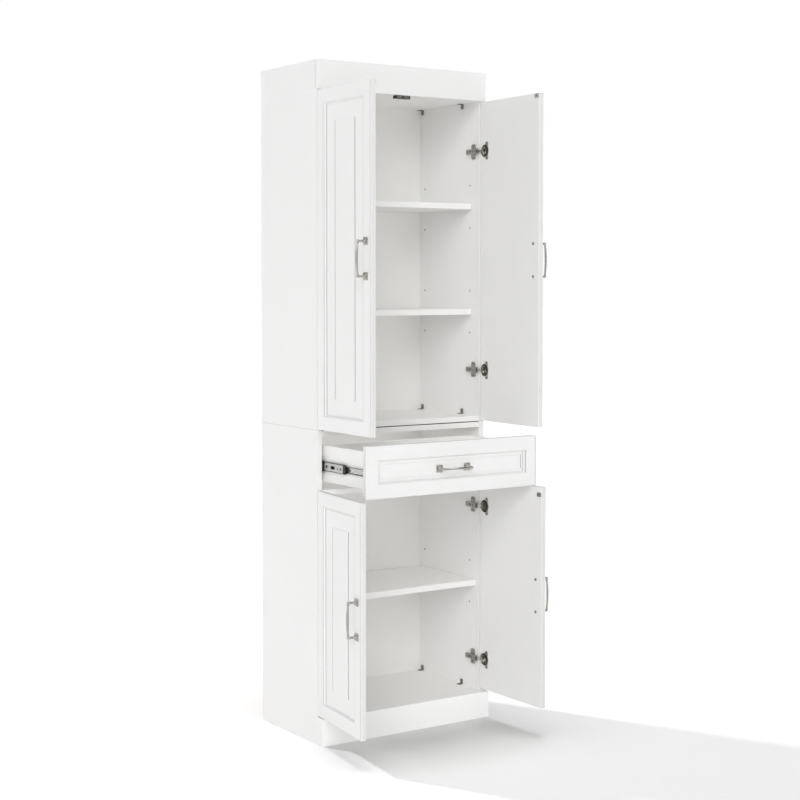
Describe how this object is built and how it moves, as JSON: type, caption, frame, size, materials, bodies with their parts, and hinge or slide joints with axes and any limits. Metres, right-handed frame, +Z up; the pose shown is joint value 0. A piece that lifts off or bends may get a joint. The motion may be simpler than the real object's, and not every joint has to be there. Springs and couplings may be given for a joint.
{
  "type": "pantry cabinet",
  "caption": "Tall narrow free-standing pantry cabinet with raised-panel doors on concealed hinges above and below a single drawer on ball-bearing slides.",
  "frame": {"origin": "on the floor at the middle of the cabinet's back plane, the face that stands against the wall", "axes": "+Z up, +X to the right seen from the front, -Y out of the front (doors and drawer), +Y into the wall"},
  "size_m": [0.6475, 0.5807, 1.829],
  "materials": {
    "white_paint": "satin white paint on medium-density fibreboard",
    "white_liner": "satin white melamine",
    "back_board": "thin white-faced hardboard",
    "brushed_nickel": "brushed nickel",
    "nickel_steel": "bright nickel-plated pressed steel",
    "zinc_steel": "zinc-plated rolled steel",
    "screw_steel": "zinc-plated screws",
    "bracket_steel": "dark steel brackets",
    "black_plastic": "moulded black plastic"
  },
  "bodies": {
    "carcass": {"upper_side_left": "white_paint", "upper_side_right": "white_paint", "lower_side_left": "white_paint", "lower_side_right": "white_paint", "crown_front": "white_paint", "crown_returns": "white_paint", "crown_back_rail": "white_paint", "top_panel": "white_liner", "upper_bottom_panel": "white_liner", "upper_back_panel": "back_board", "lower_top_panel": "white_liner", "drawer_divider": "white_liner", "lower_bottom_panel": "white_liner", "lower_back_panel": "back_board", "plinth_front": "white_paint", "plinth_returns": "white_paint", "rear_base_rail": "white_paint", "upper_shelf_high": "white_liner", "upper_shelf_low": "white_liner", "lower_shelf": "white_liner", "shelf_pins": "zinc_steel", "corner_brackets": "bracket_steel", "hinge_plates": "nickel_steel", "hinge_arms": "nickel_steel", "carcass_screws": "screw_steel", "slide_outer_members": "zinc_steel", "magnetic_catches": "black_plastic"},
    "door_upper_left": {"door_upper_left": "white_paint", "handle_upper_left": "brushed_nickel", "hinge_cups_upper_left": "nickel_steel", "strike_plate_upper_left": "zinc_steel", "door_screws_upper_left": "screw_steel"},
    "hinge_links_upper_left": {"hinge_links_upper_left": "nickel_steel"},
    "door_upper_right": {"door_upper_right": "white_paint", "handle_upper_right": "brushed_nickel", "hinge_cups_upper_right": "nickel_steel", "strike_plate_upper_right": "zinc_steel", "door_screws_upper_right": "screw_steel"},
    "hinge_links_upper_right": {"hinge_links_upper_right": "nickel_steel"},
    "door_lower_left": {"door_lower_left": "white_paint", "handle_lower_left": "brushed_nickel", "hinge_cups_lower_left": "nickel_steel", "strike_plate_lower_left": "zinc_steel", "door_screws_lower_left": "screw_steel"},
    "hinge_links_lower_left": {"hinge_links_lower_left": "nickel_steel"},
    "door_lower_right": {"door_lower_right": "white_paint", "handle_lower_right": "brushed_nickel", "hinge_cups_lower_right": "nickel_steel", "strike_plate_lower_right": "zinc_steel", "door_screws_lower_right": "screw_steel"},
    "hinge_links_lower_right": {"hinge_links_lower_right": "nickel_steel"},
    "drawer": {"drawer_front": "white_paint", "drawer_sides": "white_liner", "drawer_back": "white_liner", "drawer_bottom": "back_board", "drawer_handle": "brushed_nickel", "drawer_screws": "screw_steel", "slide_inner_members": "zinc_steel"},
    "slide_mids": {"slide_mid_members": "zinc_steel", "slide_ball_cages": "black_plastic"}
  },
  "joints": [
    {"name": "door_upper_left_hinge", "type": "hinge", "parent": "carcass", "child": "door_upper_left", "pos_m": [-0.26865, -0.31345, 0], "axis": [0, 0, -1], "range_deg": [-91, 14]},
    {"name": "hinge_links_upper_left_pivot", "type": "hinge", "parent": "carcass", "child": "hinge_links_upper_left", "pos_m": [-0.251, -0.3045, 0], "axis": [0, 0, 1], "range_deg": [-36.09, 5.72]},
    {"name": "door_upper_right_hinge", "type": "hinge", "parent": "carcass", "child": "door_upper_right", "pos_m": [0.26865, -0.31345, 0], "axis": [0, 0, 1], "range_deg": [-88.6, 16.4]},
    {"name": "hinge_links_upper_right_pivot", "type": "hinge", "parent": "carcass", "child": "hinge_links_upper_right", "pos_m": [0.251, -0.3045, 0], "axis": [0, 0, -1], "range_deg": [-35.14, 6.67]},
    {"name": "door_lower_left_hinge", "type": "hinge", "parent": "carcass", "child": "door_lower_left", "pos_m": [-0.26865, -0.31345, 0], "axis": [0, 0, -1], "range_deg": [-97.2, 7.8]},
    {"name": "hinge_links_lower_left_pivot", "type": "hinge", "parent": "carcass", "child": "hinge_links_lower_left", "pos_m": [-0.251, -0.3045, 0], "axis": [0, 0, 1], "range_deg": [-38.54, 3.28]},
    {"name": "door_lower_right_hinge", "type": "hinge", "parent": "carcass", "child": "door_lower_right", "pos_m": [0.26865, -0.31345, 0], "axis": [0, 0, 1], "range_deg": [-91.2, 13.8]},
    {"name": "hinge_links_lower_right_pivot", "type": "hinge", "parent": "carcass", "child": "hinge_links_lower_right", "pos_m": [0.251, -0.3045, 0], "axis": [0, 0, -1], "range_deg": [-36.17, 5.64]},
    {"name": "drawer_slide", "type": "slide", "parent": "carcass", "child": "drawer", "axis": [0, -1, 0], "range_m": [-0.226, 0.024]},
    {"name": "slide_mids_slide", "type": "slide", "parent": "carcass", "child": "slide_mids", "axis": [0, -1, 0], "range_m": [-0.1135, 0.0125]}
  ],
  "couplings": [
    {"joint": "hinge_links_upper_left_pivot", "follows": "door_upper_left_hinge", "ratio": 0.3944},
    {"joint": "hinge_links_upper_right_pivot", "follows": "door_upper_right_hinge", "ratio": 0.3944},
    {"joint": "hinge_links_lower_left_pivot", "follows": "door_lower_left_hinge", "ratio": 0.3944},
    {"joint": "hinge_links_lower_right_pivot", "follows": "door_lower_right_hinge", "ratio": 0.3944},
    {"joint": "slide_mids_slide", "follows": "drawer_slide", "ratio": 0.5}
  ]
}
